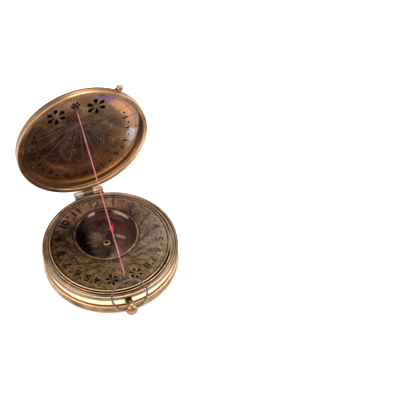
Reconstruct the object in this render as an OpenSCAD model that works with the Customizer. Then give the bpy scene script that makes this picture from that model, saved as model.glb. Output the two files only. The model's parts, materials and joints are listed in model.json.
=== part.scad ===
// Pocket sundial compass in brass: a turned case with a compass bowl set in a sundial plate,
// a domed lid on a three-knuckle hinge, and a thread that the open lid pulls tight as the gnomon.
// Millimetres. Origin: middle of the foot, on the table. +Z up, +Y to the hinge, -Y to the bow.
// The lid is drawn open. Lid pieces are shaped where they lie when it is shut, then swung open.

/* [Case] */
// Outer radius of the case and of the lid
case_r = 36; // [34:0.5:42]
// Height of the cup's outer wall
cup_h = 5.6; // [4.8:0.1:7]
// Thickness of the cup's floor
floor_t = 1.4; // [1:0.1:1.8]
// Distance of the turned groove underneath from the case's edge
foot_groove_inset = 6; // [4:0.5:10]
// Width of that groove
foot_groove_w = 0.8; // [0.5:0.1:1.5]
// Depth of that groove
foot_groove_d = 0.4; // [0.2:0.1:0.6]
// Rounding of the cup's bottom edge
cup_round = 1.2; // [0.6:0.1:1.6]
// Rounding of the cup's top edge
cup_top_round = 0.5; // [0.2:0.1:0.8]

/* [Waist band] */
// Height of the groove under the band
groove_h = 0.7; // [0.4:0.1:1]
// Depth of the groove under the band
groove_d = 0.7; // [0.4:0.1:1]
// Height of the band's polished face
band_h = 5; // [4:0.1:6.5]
// How far the band's face lies inside the case's outer radius
band_inset = 0.9; // [0.6:0.1:1.2]
// Rounding of the band's edges
band_round = 0.4; // [0.2:0.1:0.6]

/* [Bezel] */
// Height of the bezel
bezel_h = 1.75; // [1.4:0.05:2.4]
// Width of the bezel's top
bezel_w = 2.65; // [2.4:0.05:3.2]
// Width of the bezel's inner ridge
inner_ridge_w = 0.45; // [0.4:0.05:0.6]
// Width of the groove between the bezel's two ridges
ridge_groove_w = 0.6; // [0.4:0.1:0.9]
// Depth of that groove
ridge_groove_d = 0.6; // [0.3:0.1:0.9]
// Rounding of the outer ridge
ridge_round = 0.55; // [0.2:0.05:0.6]
// Width of the guard ring between bezel and dial
guard_w = 0.65; // [0.5:0.05:0.8]
// How far the guard ring stands above the bezel's top
guard_rise = 1; // [0.5:0.05:1.3]
// Rounding of the guard ring
guard_round = 0.25; // [0.1:0.05:0.3]

/* [Dial] */
// Distance between the dial's edge and the bezel
dial_gap = 1.3; // [1.1:0.1:1.6]
// How deep the gap round the dial is, from the bezel's top
dial_gap_d = 0.75; // [0.4:0.05:1]
// How far the dial and its compass are set off the case's middle, towards -X
dial_shift = 0.15; // [0:0.05:0.3]
// Thickness of the dial plate
dial_t = 1.2; // [0.8:0.1:1.6]
// How far the dial's face stands above the bezel's top
dial_rise = 1.6; // [1.3:0.1:2]
// Width of the ledge under the dial's edge
dial_ledge = 0.9; // [0.7:0.1:1.5]
// Rounding of the dial's edge
dial_round = 0.3; // [0.1:0.1:0.5]

/* [Compass] */
// How far the compass lies from the middle, towards the hinge
compass_y = 6; // [4:0.5:8]
// Inner radius of the compass bowl
bowl_r = 16.3; // [15.5:0.1:17]
// Thickness of the bowl's wall
bowl_t = 0.8; // [0.7:0.1:1.2]
// Thickness of the bowl's floor
bowl_floor_t = 1; // [0.6:0.1:1.4]
// Thickness of the compass card
card_t = 0.6; // [0.4:0.1:0.8]
// Thickness of the glass
glass_t = 1.2; // [0.8:0.1:1.6]
// How far the glass ring reaches down into the dial's opening
ring_reach = 0.45; // [0.3:0.05:0.6]
// How far the glass ring stands above the dial
ring_rise = 0.35; // [0.2:0.05:0.5]
// Width of the glass ring's flange on the dial
ring_flange = 0.25; // [0.2:0.05:0.8]

/* [Needle] */
// Length of one arm of the needle
needle_arm = 13.8; // [12:0.1:14.6]
// Width of the needle
needle_w = 3.4; // [2.8:0.1:3.8]
// Length of the needle's points
needle_point = 4.5; // [3:0.1:6]
// Thickness of the needle
needle_t = 0.35; // [0.2:0.05:0.5]
// Height of the needle above the card
needle_lift = 3.2; // [2.6:0.1:3.8]
// Heading of the needle's point, clockwise from the hinge, in degrees
needle_heading = 33; // [0:1:360]
// Radius of the cap over the needle's middle
cap_r = 1.9; // [1.75:0.05:2.2]
// Height of the cap above the needle
cap_h = 1; // [0.9:0.05:1.3]
// Radius of the cap's neck in the needle
cap_neck_r = 1.35; // [1.25:0.05:1.45]
// Radius of the jewel in the cap
jewel_r = 0.8; // [0.7:0.05:0.9]
// Radius of the pivot's foot
pivot_foot_r = 1.5; // [1:0.1:2.2]
// Height of the pivot's foot
pivot_foot_h = 1.2; // [0.8:0.1:1.6]
// Radius of the pivot pin
pivot_r = 0.4; // [0.3:0.05:0.45]
// Length of the pivot's point
pivot_point = 0.8; // [0.6:0.05:1]

/* [Lid] */
// How far the lid stands open in the drawn pose, in degrees
lid_open = 93; // [60:1:100]
// Gap between the bezel and the shut lid
lid_gap = 0.15; // [0.1:0.05:0.3]
// Height of the lid's rim ring
rim_h = 1.2; // [0.8:0.1:1.8]
// Width of the rim's face
rim_w = 2.5; // [2.2:0.1:3]
// Rounding of the rim's edges
rim_round = 0.4; // [0.2:0.1:0.5]
// Height of the lid's straight wall, from the rim's face
lid_wall_h = 3.2; // [2.8:0.1:4]
// Radius of the lid's shoulder
shoulder_r = 2.2; // [1.8:0.1:2.6]
// Height of the step at the foot of the dome
dome_step = 0.3; // [0.1:0.1:0.5]
// Distance of the dome's foot from the lid's edge
dome_inset = 3.5; // [3:0.1:5]
// Rise of the dome
dome_rise = 2.7; // [2.4:0.1:4]
// Thickness of the dome
dome_t = 0.9; // [0.7:0.1:1]
// Depth of the lid's plate behind the rim's face
lid_recess = 3.7; // [3:0.1:3.9]
// Thickness of the lid's plate
plate_t = 0.8; // [0.6:0.1:1]
// Width of the ledge behind the plate
plate_ledge = 2; // [1:0.1:3]

/* [Hinge] */
// Radius of the hinge's barrel
barrel_r = 1.65; // [1.5:0.05:1.9]
// Gap between the barrel and the case
barrel_gap = 0.3; // [0.25:0.05:0.6]
// Length of one knuckle
knuckle_w = 5.3; // [4:0.1:7]
// Gap between two knuckles
knuckle_gap = 0.1; // [0.05:0.05:0.2]
// Radius of the hinge pin
pin_r = 0.65; // [0.5:0.05:0.8]
// Height of each domed head of the pin
pin_head = 0.3; // [0.2:0.05:0.5]
// Distance of the leaves' outer faces from the case's edge
leaf_t = 1.4; // [1:0.1:1.8]
// Height of the case's leaf below the pin
leaf_drop = 5.2; // [3.5:0.1:6]
// Height of the lid's leaf above the pin
leaf_rise = 2.9; // [2:0.1:3.1]

/* [Lid knob] */
// Direction of the knob, in degrees from the front towards +X
knob_turn = 37; // [20:1:60]
// Radius of the knob's ball
knob_r = 2; // [1.6:0.05:2.1]
// Height of the knob's centre above the rim's face
knob_z = 2.25; // [2:0.05:2.5]
// Distance of the ball's centre from the lid's edge
knob_reach = 2.4; // [2.2:0.1:3]
// Radius of the knob's collar
knob_collar_r = 2.05; // [1.8:0.05:2.1]
// Thickness of the knob's collar
knob_collar_t = 1; // [0.6:0.1:1.2]
// Radius of the knob's neck and shank
knob_shank_r = 0.8; // [0.6:0.05:1]
// How deep the knob's shank sits in the lid's wall
knob_depth = 1.5; // [1:0.1:2]

/* [Bow] */
// Direction of the bow, in degrees from the front towards +X
bow_turn = -2.6; // [-10:0.1:10]
// Distance of the ball's centre from the case's edge
bow_reach = 5; // [4.9:0.1:6.5]
// Radius of the ball
ball_r = 3.4; // [3:0.1:3.8]
// Radius of the neck between ball and band
neck_r = 2.1; // [1.4:0.1:2.2]
// Radius of the shank through band and wall
shank_r = 1; // [0.7:0.05:1.1]
// Width of the nut inside, across its corners
nut_w = 4; // [3:0.1:5]
// Thickness of the nut
nut_t = 1.2; // [0.8:0.1:2]
// Radius of the ring, at the middle of its wire
ring_r = 9.5; // [8.5:0.1:9.8]
// Radius of the ring's wire
wire_r = 0.55; // [0.4:0.05:0.7]
// Slope of the ring in the drawn pose, in degrees above the table
bow_lean = 74; // [74:1:120]

/* [Thread] */
// Radius of the thread
thread_r = 0.45; // [0.3:0.05:0.5]
// Radius of the two holes for the thread
thread_hole_r = 0.65; // [0.6:0.05:0.8]
// Distance of the thread's hole from the dial's edge
foot_inset = 6.25; // [5:0.05:7]
// Height above the dial of the bend that the thread keeps
stub_h = 4.6; // [2:0.1:6]
// How far that bend lies from the hole, towards the compass
stub_shift = 0.9; // [0:0.1:1.5]
// Distance of the lid's hole from the edge of the lid's plate
lid_hole_inset = 8.25; // [6:0.05:10]
// How far the plate's holes lie off the lid's middle, towards -X
lid_shift = 0.8; // [0:0.1:1]
// Radius of the knots
knot_r = 1.2; // [1:0.1:1.5]
// Height of the knots
knot_h = 1.1; // [0.8:0.1:1.2]

/* [Rosettes] */
// Number of petals in each rosette
petals = 6; // [5:1:8]
// Reach of the petals on the dial
dial_rosette_r = 3.5; // [2.5:0.1:4]
// Width of the petals on the dial
dial_petal_w = 1.4; // [0.8:0.1:1.6]
// Distance of the dial's rosettes from the dial's edge
dial_rosette_inset = 7.2; // [6:0.05:8]
// Angle of each dial rosette from the front
dial_rosette_turn = 15.1; // [12:0.1:30]
// Reach of the petals on the lid's plate
lid_rosette_r = 5.4; // [3.5:0.1:5.8]
// Width of the petals on the lid's plate
lid_petal_w = 2.4; // [1:0.05:2.6]
// Distance of the lid's rosettes from the plate's edge
lid_rosette_inset = 9.85; // [8:0.05:11]
// Angle of each lid rosette from the front
lid_rosette_turn = 27.7; // [20:0.1:40]

/* [Fits] */
// Clearance between round pieces that are fixed together
fit_gap = 0.03; // [0.02:0.01:0.05]
// Clearance between round pieces that turn
run_gap = 0.05; // [0.03:0.01:0.1]

/* [Hidden] */
$fn = 96;

// Radii of the case's turned stack
wall_r = case_r - bezel_w;
guard_r = wall_r - fit_gap;
band_r = case_r - band_inset;
dial_r = wall_r - dial_gap;
wall_in_r = dial_r - dial_ledge;
// Levels of the case, from the table up
band_z = cup_h + groove_h;
bezel_z = band_z + band_h;
bezel_top = bezel_z + bezel_h;
dial_top = bezel_top + dial_rise;
dial_z = dial_top - dial_t;
// The compass, from the case's floor up
dial_x = -dial_shift;
bowl_out_r = bowl_r + bowl_t;
opening_r = bowl_out_r + fit_gap;
glass_z = dial_top - ring_reach - glass_t;
bowl_floor_z = floor_t + bowl_floor_t;
card_top = bowl_floor_z + card_t;
needle_z = card_top + needle_lift;
socket_top = needle_z + needle_t + cap_h - 0.25;
jewel_z = needle_z + 0.1;
pivot_tip = socket_top - 0.3;
// The hinge's axis is level with the shut lid's rim
hinge_y = case_r + barrel_gap + barrel_r;
hinge_z = bezel_top + lid_gap;
leaf_y = case_r + leaf_t;
// The lid where it lies when shut
lid_in_r = case_r - rim_w;
plate_r = lid_in_r - fit_gap;
plate_z = hinge_z + lid_recess;
plate_back = plate_z + plate_t;
shoulder_z = hinge_z + lid_wall_h;
shoulder_top = shoulder_z + shoulder_r;
dome_r = case_r - dome_inset;
dome_z = shoulder_top + dome_step;
dome_sphere_r = (dome_r * dome_r + dome_rise * dome_rise) / (2 * dome_rise);
dome_centre_z = dome_z + dome_rise - dome_sphere_r;
cavity_r = lid_in_r - plate_ledge;
// The bow, in its own upright plane
bow_r = case_r + bow_reach;
bow_z = band_z + band_h / 2;
ring_sagitta = ring_r - sqrt(ring_r * ring_r - ball_r * ball_r);
bow_hole_r = wire_r + ring_sagitta / 2 + 0.1;
// The thread's two holes
foot_y = -(dial_r - foot_inset);
lid_hole_y = -(plate_r - lid_hole_inset);
lid_hole = [-lid_shift, lid_hole_y];
thread_sides = 8;

// A point of the shut lid, swung open
function opened(p) =
    let (y = p[1] - hinge_y, z = p[2] - hinge_z, c = cos(lid_open), s = sin(lid_open))
    [p[0], hinge_y + y * c + z * s, hinge_z - y * s + z * c];

module swing_open() {
    translate([0, hinge_y, hinge_z]) rotate([-lid_open, 0, 0])
        translate([0, -hinge_y, -hinge_z]) children();
}

// Places its children on the front line, turned about the case's axis
module at_front(turn, reach, z) {
    rotate([0, 0, turn]) translate([0, -reach, z]) children();
}

// Profile of a plain ring
module band_2d(r0, r1, z0, z1) {
    translate([r0, z0]) square([r1 - r0, z1 - z0]);
}

// Profile of a ring with both upper corners rounded
module soft_2d(r0, r1, z0, z1, e) {
    band_2d(r0, r1, z0, z1 - e);
    band_2d(r0 + e, r1 - e, z0, z1);
    for (r = [r0 + e, r1 - e]) translate([r, z1 - e]) circle(e);
}

// One pierced petal, pointing along +Y from the rosette's middle
module petal_2d(reach, w) {
    c = reach - w / 2;
    tip = reach * 0.22;
    lean = asin(w / 2 / (c - tip));
    // a little inside the round end, so that side and end cross each other
    x = cos(lean) * w * 0.48;
    y = c - sin(lean) * w * 0.48;
    translate([0, c]) circle(w / 2);
    polygon([[0, tip], [x, y], [-x, y]]);
}

// Cuts for the two rosettes, one on each side of the front
module rosette_pair(reach, w, place_r, turn, h) {
    for (side = [-1, 1]) at_front(side * turn, place_r, 0) rotate([0, 0, -side * turn])
        for (i = [0 : petals - 1]) rotate([0, 0, i * 360 / petals])
            linear_extrude(h) petal_2d(reach, w);
}

// A thread's knot: a flattened bead with the thread's way through it
module knot() {
    rotate_extrude() {
        band_2d(thread_r + fit_gap, knot_r - 0.3, 0, knot_h);
        band_2d(thread_r + fit_gap, knot_r, 0.3, knot_h - 0.3);
        for (z = [0.3, knot_h - 0.3]) translate([knot_r - 0.3, z]) circle(0.3);
    }
}

// A cylinder along +X, centred on its middle
module rod_x(r, h) {
    rotate([0, 90, 0]) cylinder(r = r, h = h, center = true);
}

module case_cup() {
    groove_r = case_r - foot_groove_inset;
    color("saddlebrown") difference() {
        rotate_extrude() difference() {
            union() {
                band_2d(0, case_r - cup_round, 0, cup_h);
                band_2d(0, case_r, cup_round, cup_h - cup_top_round);
                band_2d(0, case_r - cup_top_round, cup_h / 2, cup_h);
                translate([case_r - cup_round, cup_round]) circle(cup_round);
                translate([case_r - cup_top_round, cup_h - cup_top_round]) circle(cup_top_round);
                band_2d(0, guard_r, 0, bezel_top - dial_gap_d);
                soft_2d(guard_r - guard_w, guard_r, bezel_z, bezel_top + guard_rise, guard_round);
                band_2d(0, dial_r, 0, dial_z);
            }
            band_2d(-1, wall_in_r, floor_t, dial_z + 1);
            band_2d(groove_r - foot_groove_w, groove_r, -1, foot_groove_d);
        }
        at_front(bow_turn, case_r, bow_z) rotate([-90, 0, 0])
            cylinder(r = shank_r + fit_gap, h = case_r - wall_in_r + 2);
    }
}

module waist_band() {
    e = band_round;
    color("gold") difference() {
        rotate_extrude() {
            band_2d(wall_r, band_r - groove_d, cup_h, bezel_z);
            band_2d(wall_r, band_r - e, band_z, bezel_z);
            band_2d(wall_r, band_r, band_z + e, bezel_z - e);
            for (z = [band_z + e, bezel_z - e]) translate([band_r - e, z]) circle(e);
        }
        at_front(bow_turn, case_r, bow_z) rotate([-90, 0, 0])
            cylinder(r = shank_r + fit_gap, h = bezel_w + 2);
    }
}

module case_bezel() {
    groove_r = wall_r + inner_ridge_w;
    color("peru") rotate_extrude() {
        band_2d(wall_r, case_r - 0.1, bezel_z, bezel_top - ridge_groove_d);
        soft_2d(wall_r, groove_r, bezel_z, bezel_top, inner_ridge_w * 0.4);
        soft_2d(groove_r + ridge_groove_w, case_r, bezel_z, bezel_top, ridge_round);
    }
}

module dial_plate() {
    color("darkgoldenrod") translate([dial_x, 0, 0]) difference() {
        rotate_extrude() {
            band_2d(0, dial_r - dial_round, dial_z, dial_top);
            band_2d(0, dial_r, dial_z, dial_top - dial_round);
            translate([dial_r - dial_round, dial_top - dial_round]) circle(dial_round);
        }
        translate([0, compass_y, dial_z - 1]) cylinder(r = opening_r, h = dial_t + 2);
        translate([0, foot_y, dial_z - 1]) cylinder(r = thread_hole_r, h = dial_t + 2);
        translate([0, 0, dial_z - 1]) rosette_pair(dial_rosette_r, dial_petal_w,
            dial_r - dial_rosette_inset, dial_rosette_turn, dial_t + 2);
    }
}

module compass_bowl() {
    color("sienna") translate([dial_x, compass_y, 0]) rotate_extrude() {
        band_2d(0, bowl_out_r, floor_t, bowl_floor_z);
        band_2d(bowl_r, bowl_out_r, floor_t, glass_z);
    }
}

module compass_card() {
    color("burlywood") translate([dial_x, compass_y, bowl_floor_z]) difference() {
        cylinder(r = bowl_r - fit_gap, h = card_t);
        translate([0, 0, -1]) cylinder(r = pivot_foot_r + fit_gap, h = card_t + 2);
    }
}

module pivot_post() {
    color("silver") translate([dial_x, compass_y, 0]) rotate_extrude() {
        band_2d(0, pivot_foot_r, bowl_floor_z, bowl_floor_z + pivot_foot_h);
        band_2d(0, pivot_r, bowl_floor_z, pivot_tip - pivot_point);
        polygon([[0, pivot_tip - pivot_point], [pivot_r, pivot_tip - pivot_point], [0, pivot_tip]]);
    }
}

module compass_glass() {
    color("lightcyan", 0.4) translate([dial_x, compass_y, glass_z]) cylinder(r = bowl_out_r, h = glass_t);
}

module glass_ring() {
    color("peru") translate([dial_x, compass_y, 0]) rotate_extrude() {
        band_2d(bowl_r, bowl_out_r, glass_z + glass_t, dial_top);
        soft_2d(bowl_r, opening_r + ring_flange, dial_top, dial_top + ring_rise, ring_rise / 2);
    }
}

// Turns what belongs to the needle about the compass's axis
module at_needle() {
    translate([dial_x, compass_y, 0]) rotate([0, 0, -needle_heading]) children();
}

module needle_blade() {
    shoulder = needle_arm - needle_point;
    color("firebrick") at_needle() translate([0, 0, needle_z]) linear_extrude(needle_t) difference() {
        polygon([[0, needle_arm], [needle_w / 2, shoulder], [needle_w / 2, -shoulder], [0, -needle_arm],
            [-needle_w / 2, -shoulder], [-needle_w / 2, shoulder]]);
        circle(cap_neck_r + fit_gap);
    }
}

module needle_cap() {
    e = 0.4;
    top = needle_z + needle_t + cap_h;
    color("gold") at_needle() rotate_extrude() difference() {
        union() {
            band_2d(0, cap_neck_r, needle_z, top);
            band_2d(0, cap_r, needle_z + needle_t, top - e);
            band_2d(0, cap_r - e, needle_z + needle_t, top);
            translate([cap_r - e, top - e]) circle(e);
        }
        band_2d(-2, jewel_r + fit_gap, needle_z - 1, socket_top);
    }
}

module needle_jewel() {
    depth = pivot_tip + run_gap - jewel_z;
    color("crimson") at_needle() rotate_extrude()
        polygon([[0, socket_top], [jewel_r, socket_top], [jewel_r, jewel_z], [jewel_r - 0.15, jewel_z],
            [0, jewel_z + depth]]);
}

module hinge_leaf_case() {
    span = 3 * knuckle_w + 2 * knuckle_gap;
    slot = knuckle_w + 2 * knuckle_gap;
    color("silver") difference() {
        union() {
            translate([-span / 2, 0, hinge_z - leaf_drop]) cube([span, leaf_y, leaf_drop]);
            translate([0, hinge_y, hinge_z]) rod_x(barrel_r, span);
        }
        cylinder(r = band_r, h = bezel_z);
        translate([0, 0, bezel_z]) cylinder(r = case_r, h = hinge_z + barrel_r);
        translate([-slot / 2, 0, hinge_z - barrel_r - 0.25])
            cube([slot, hinge_y + 2 * barrel_r, 3 * barrel_r]);
        translate([0, hinge_y, hinge_z]) rod_x(pin_r + fit_gap, span + 2);
    }
}

module hinge_leaf_lid() {
    color("peru") swing_open() difference() {
        union() {
            translate([-knuckle_w / 2, 0, hinge_z]) cube([knuckle_w, leaf_y, leaf_rise]);
            translate([0, hinge_y, hinge_z]) rod_x(barrel_r, knuckle_w);
        }
        cylinder(r = case_r, h = hinge_z + leaf_rise + 1);
        translate([0, hinge_y, hinge_z]) rod_x(pin_r + run_gap, knuckle_w + 2);
    }
}

module hinge_pin() {
    span = 3 * knuckle_w + 2 * knuckle_gap;
    head_r = (pin_r * pin_r + pin_head * pin_head) / (2 * pin_head);
    color("gainsboro") translate([0, hinge_y, hinge_z]) {
        rod_x(pin_r, span);
        for (side = [-1, 1]) translate([side * span / 2, 0, 0]) rotate([0, side * 90, 0])
            rotate_extrude() intersection() {
                translate([0, pin_head - head_r]) circle(head_r);
                square([pin_r, pin_head]);
            }
    }
}

module dome_2d(r, cut_r, z0) {
    intersection() {
        translate([0, dome_centre_z]) circle(r, $fn = 240);
        band_2d(0, cut_r, z0, dome_z + dome_rise + 1);
    }
}

module lid_shell() {
    color("goldenrod") swing_open() difference() {
        rotate_extrude() difference() {
            union() {
                band_2d(0, case_r, hinge_z + rim_h, shoulder_z);
                intersection() {
                    translate([case_r - shoulder_r, shoulder_z]) circle(shoulder_r);
                    band_2d(0, case_r, shoulder_z, shoulder_top);
                }
                band_2d(0, case_r - shoulder_r, shoulder_z - 1, shoulder_top);
                dome_2d(dome_sphere_r, dome_r, shoulder_top - 1);
            }
            band_2d(-1, lid_in_r, hinge_z, plate_back);
            dome_2d(dome_sphere_r - dome_t, cavity_r, plate_back - 0.5);
        }
        at_front(knob_turn, case_r + 1, hinge_z + knob_z) rotate([-90, 0, 0])
            cylinder(r = knob_shank_r + fit_gap, h = knob_depth + 1);
    }
}

module lid_rim() {
    color("burlywood") swing_open() rotate_extrude() {
        band_2d(lid_in_r, case_r, hinge_z + rim_round, hinge_z + rim_h);
        band_2d(lid_in_r + rim_round, case_r - rim_round, hinge_z, hinge_z + rim_h);
        for (r = [lid_in_r + rim_round, case_r - rim_round])
            translate([r, hinge_z + rim_round]) circle(rim_round);
    }
}

module lid_plate() {
    color("darkgoldenrod") swing_open() difference() {
        translate([0, 0, plate_z]) cylinder(r = plate_r, h = plate_t);
        translate([each lid_hole, plate_z - 1]) cylinder(r = thread_hole_r, h = plate_t + 2);
        translate([-lid_shift, 0, plate_z - 1]) rosette_pair(lid_rosette_r, lid_petal_w,
            plate_r - lid_rosette_inset, lid_rosette_turn, plate_t + 2);
    }
}

module lid_knob() {
    color("sandybrown") swing_open() at_front(knob_turn, case_r + knob_reach, hinge_z + knob_z) {
        sphere(knob_r);
        rotate([-90, 0, 0]) cylinder(r = knob_shank_r, h = knob_reach + knob_depth);
    }
}

module knob_collar() {
    to_ball = knob_reach - knob_collar_t;
    bore_r = max(knob_shank_r, sqrt(max(0, knob_r * knob_r - to_ball * to_ball))) + fit_gap;
    color("sienna") swing_open() difference() {
        at_front(knob_turn, case_r + knob_collar_t, hinge_z + knob_z) rotate([-90, 0, 0]) difference() {
            cylinder(r = knob_collar_r, h = knob_collar_t + 1);
            translate([0, 0, -1]) cylinder(r = bore_r, h = knob_collar_t + 3);
        }
        cylinder(r = case_r, h = shoulder_top, $fn = 720);
    }
}

module bow_post() {
    shank_end = bow_r - wall_in_r + nut_t + 0.5;
    color("sandybrown") difference() {
        at_front(bow_turn, bow_r, bow_z) difference() {
            union() {
                sphere(ball_r);
                rotate([-90, 0, 0]) cylinder(r = neck_r, h = bow_r - band_r + 1);
            }
            rod_x(bow_hole_r, 3 * ball_r);
        }
        cylinder(r = band_r, h = bow_z + ball_r);
    }
    color("sandybrown") at_front(bow_turn, bow_r - ball_r, bow_z) rotate([-90, 0, 0])
        cylinder(r = shank_r, h = shank_end - ball_r);
}

module bow_nut() {
    color("silver") difference() {
        at_front(bow_turn, wall_in_r, bow_z) rotate([-90, 0, 0]) translate([0, 0, -0.5]) difference() {
            cylinder(d = nut_w, h = nut_t + 0.5, $fn = 6);
            translate([0, 0, -1]) cylinder(r = shank_r + fit_gap, h = nut_t + 3);
        }
        difference() {
            cylinder(r = case_r, h = bow_z + nut_w);
            translate([0, 0, -1]) cylinder(r = wall_in_r, h = bow_z + nut_w + 2);
        }
    }
}

module bow_ring() {
    color("dimgray") at_front(bow_turn, bow_r, bow_z) rotate([bow_lean, 0, 0])
        translate([0, ring_r - ring_sagitta / 2, 0]) rotate_extrude() translate([ring_r, 0]) circle(wire_r);
}

// The thread's route: knot, dial, the bend that it keeps, lid's hole, knot
route = [
    [dial_x, foot_y, dial_z - knot_h],
    [dial_x, foot_y, dial_top],
    [dial_x, foot_y + stub_shift, dial_top + stub_h],
    opened([each lid_hole, plate_z]),
    opened([each lid_hole, plate_back + knot_h])];
last = len(route) - 1;

// Slope of the stretch that leaves point i, from +Y towards +Z
function slope(i) = atan2(route[i + 1][2] - route[i][2], route[i + 1][1] - route[i][1]);
// Slopes before and after point i, which has only one at an end
function slope_in(i) = slope(max(i - 1, 0));
function slope_out(i) = slope(min(i, last - 1));
// Points of the thread's section at point i, on the plane that halves the bend
function section(i) =
    let (mean = (slope_in(i) + slope_out(i)) / 2, mitre = cos((slope_out(i) - slope_in(i)) / 2))
    [for (k = [0 : thread_sides - 1]) let (a = k * 360 / thread_sides, side = thread_r * sin(a) / mitre)
        route[i] + [thread_r * cos(a), -side * sin(mean), side * cos(mean)]];

module gnomon_thread() {
    n = thread_sides;
    points = [for (i = [0 : last]) each section(i)];
    walls = [for (i = [0 : last - 1]) for (k = [0 : n - 1]) let (m = (k + 1) % n, a = i * n, b = a + n)
        each [[a + k, a + m, b + m], [a + k, b + m, b + k]]];
    ends = [[for (k = [n - 1 : -1 : 0]) k], [for (k = [0 : n - 1]) last * n + k]];
    color("palevioletred") polyhedron(points, concat(walls, ends));
}

module case_knot() {
    color("palevioletred") translate([dial_x, foot_y, dial_z - knot_h]) knot();
}

module lid_knot() {
    color("palevioletred") swing_open() translate([each lid_hole, plate_back]) knot();
}

case_cup();
waist_band();
case_bezel();
dial_plate();
compass_bowl();
compass_card();
pivot_post();
compass_glass();
glass_ring();
needle_blade();
needle_cap();
needle_jewel();
hinge_leaf_case();
hinge_pin();
hinge_leaf_lid();
lid_shell();
lid_rim();
lid_plate();
lid_knob();
knob_collar();
bow_post();
bow_nut();
bow_ring();
gnomon_thread();
case_knot();
lid_knot();
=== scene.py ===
import json
import math
import bpy
from mathutils import Matrix, Quaternion, Vector


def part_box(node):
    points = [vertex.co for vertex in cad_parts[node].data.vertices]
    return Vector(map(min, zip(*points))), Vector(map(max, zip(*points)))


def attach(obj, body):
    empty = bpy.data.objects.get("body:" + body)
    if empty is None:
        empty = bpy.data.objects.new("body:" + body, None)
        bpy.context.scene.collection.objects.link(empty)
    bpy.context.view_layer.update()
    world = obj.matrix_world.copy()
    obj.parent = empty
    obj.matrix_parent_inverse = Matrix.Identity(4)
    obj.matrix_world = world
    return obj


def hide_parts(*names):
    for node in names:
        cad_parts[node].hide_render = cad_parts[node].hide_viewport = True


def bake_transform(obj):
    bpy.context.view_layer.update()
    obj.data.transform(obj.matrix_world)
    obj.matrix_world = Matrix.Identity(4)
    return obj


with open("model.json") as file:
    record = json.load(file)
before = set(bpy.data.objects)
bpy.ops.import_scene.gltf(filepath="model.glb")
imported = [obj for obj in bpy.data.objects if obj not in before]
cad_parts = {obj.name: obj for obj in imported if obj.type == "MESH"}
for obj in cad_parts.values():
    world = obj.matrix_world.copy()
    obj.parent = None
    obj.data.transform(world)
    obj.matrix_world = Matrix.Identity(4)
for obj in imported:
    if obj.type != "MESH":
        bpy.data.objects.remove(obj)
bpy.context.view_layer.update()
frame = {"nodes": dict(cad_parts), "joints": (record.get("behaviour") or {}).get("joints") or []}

nodes = frame["nodes"]
lidHinge = next(j for j in frame["joints"] if j["name"] == "lid_hinge")
lidTravel = math.radians(93)
compassMiddle = (-0.00015, 0.006, 0)
mm = 0.001
print("frame loaded:", len(nodes), "nodes")


# camera, at the photograph's angle
camera = {"place": (-0.1661, -0.6353, 0.8553), "aim": (0.2037, 0.5964, -0.7764), "roll": 1.232,
          "lens": 181.26, "sensor": 36, "clip": (0.05, 20)}


def addCamera():
    bpy.ops.object.camera_add(location=camera["place"])
    made = bpy.context.object
    turn = Vector(camera["aim"]).to_track_quat("-Z", "Y")
    made.rotation_euler = (turn @ Quaternion((0, 0, 1), -math.radians(camera["roll"]))).to_euler()
    made.data.lens = camera["lens"]
    made.data.sensor_width = camera["sensor"]
    made.data.clip_start, made.data.clip_end = camera["clip"]
    bpy.context.scene.camera = made


addCamera()
print("camera set")


# small helpers for modelling
smoothAngle = math.radians(35)


def clearSelection():
    bpy.ops.object.select_all(action="DESELECT")


def pick(piece):
    clearSelection()
    piece.select_set(True)
    bpy.context.view_layer.objects.active = piece


def settle(piece, smooth=True):
    pick(piece)
    bpy.ops.object.transform_apply(location=True, rotation=True, scale=True)
    if smooth:
        bpy.ops.object.shade_smooth_by_angle(angle=smoothAngle)
    return piece


def copyOf(piece, place, turn, scale):
    made = piece.copy()
    made.data = piece.data.copy()
    bpy.context.collection.objects.link(made)
    made.location = place
    made.rotation_euler = (0, 0, turn)
    made.scale = scale
    return made


def joined(pieces, name):
    clearSelection()
    for piece in pieces:
        piece.select_set(True)
    bpy.context.view_layer.objects.active = pieces[0]
    bpy.ops.object.join()
    made = bpy.context.object
    made.name = name
    return settle(made)


def drop(piece):
    bpy.data.objects.remove(piece, do_unlink=True)


def coat(piece, finish):
    piece.data.materials.clear()
    piece.data.materials.append(finish)


# lid pieces are laid out on the shut lid, as its plate lies there, then swung open with it
lidSwing = Matrix.Translation(lidHinge["pos_m"]) @ Matrix.Rotation(-lidTravel, 4, "X") \
    @ Matrix.Translation(-Vector(lidHinge["pos_m"]))


def swingOpen(piece):
    piece.matrix_world = lidSwing @ piece.matrix_world
    return settle(piece, smooth=False)


# small helpers for materials; colours are written as screen values up to 255
def tone(red, green, blue):
    out = []
    for part in (red, green, blue):
        part = part / 255
        out.append(part / 12.92 if part <= 0.04045 else ((part + 0.055) / 1.055) ** 2.4)
    return (*out, 1)


def put(tree, kind, inputs=None, **settings):
    made = tree.nodes.new("ShaderNode" + kind)
    for name, value in settings.items():
        setattr(made, name, value)
    for key, value in (inputs or {}).items():
        if isinstance(value, bpy.types.NodeSocket):
            tree.links.new(value, made.inputs[key])
        else:
            made.inputs[key].default_value = value
    return made


def sums(tree, operation, a, b=0.0, c=0.0):
    return put(tree, "Math", {0: a, 1: b, 2: c}, operation=operation).outputs[0]


def times(tree, first, *others):
    for other in others:
        first = sums(tree, "MULTIPLY", first, other)
    return first


# a value pushed up and down about itself by a noise
def swayed(tree, value, grain, amount):
    return sums(tree, "MULTIPLY_ADD", sums(tree, "SUBTRACT", grain, 0.5), amount, value)


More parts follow.
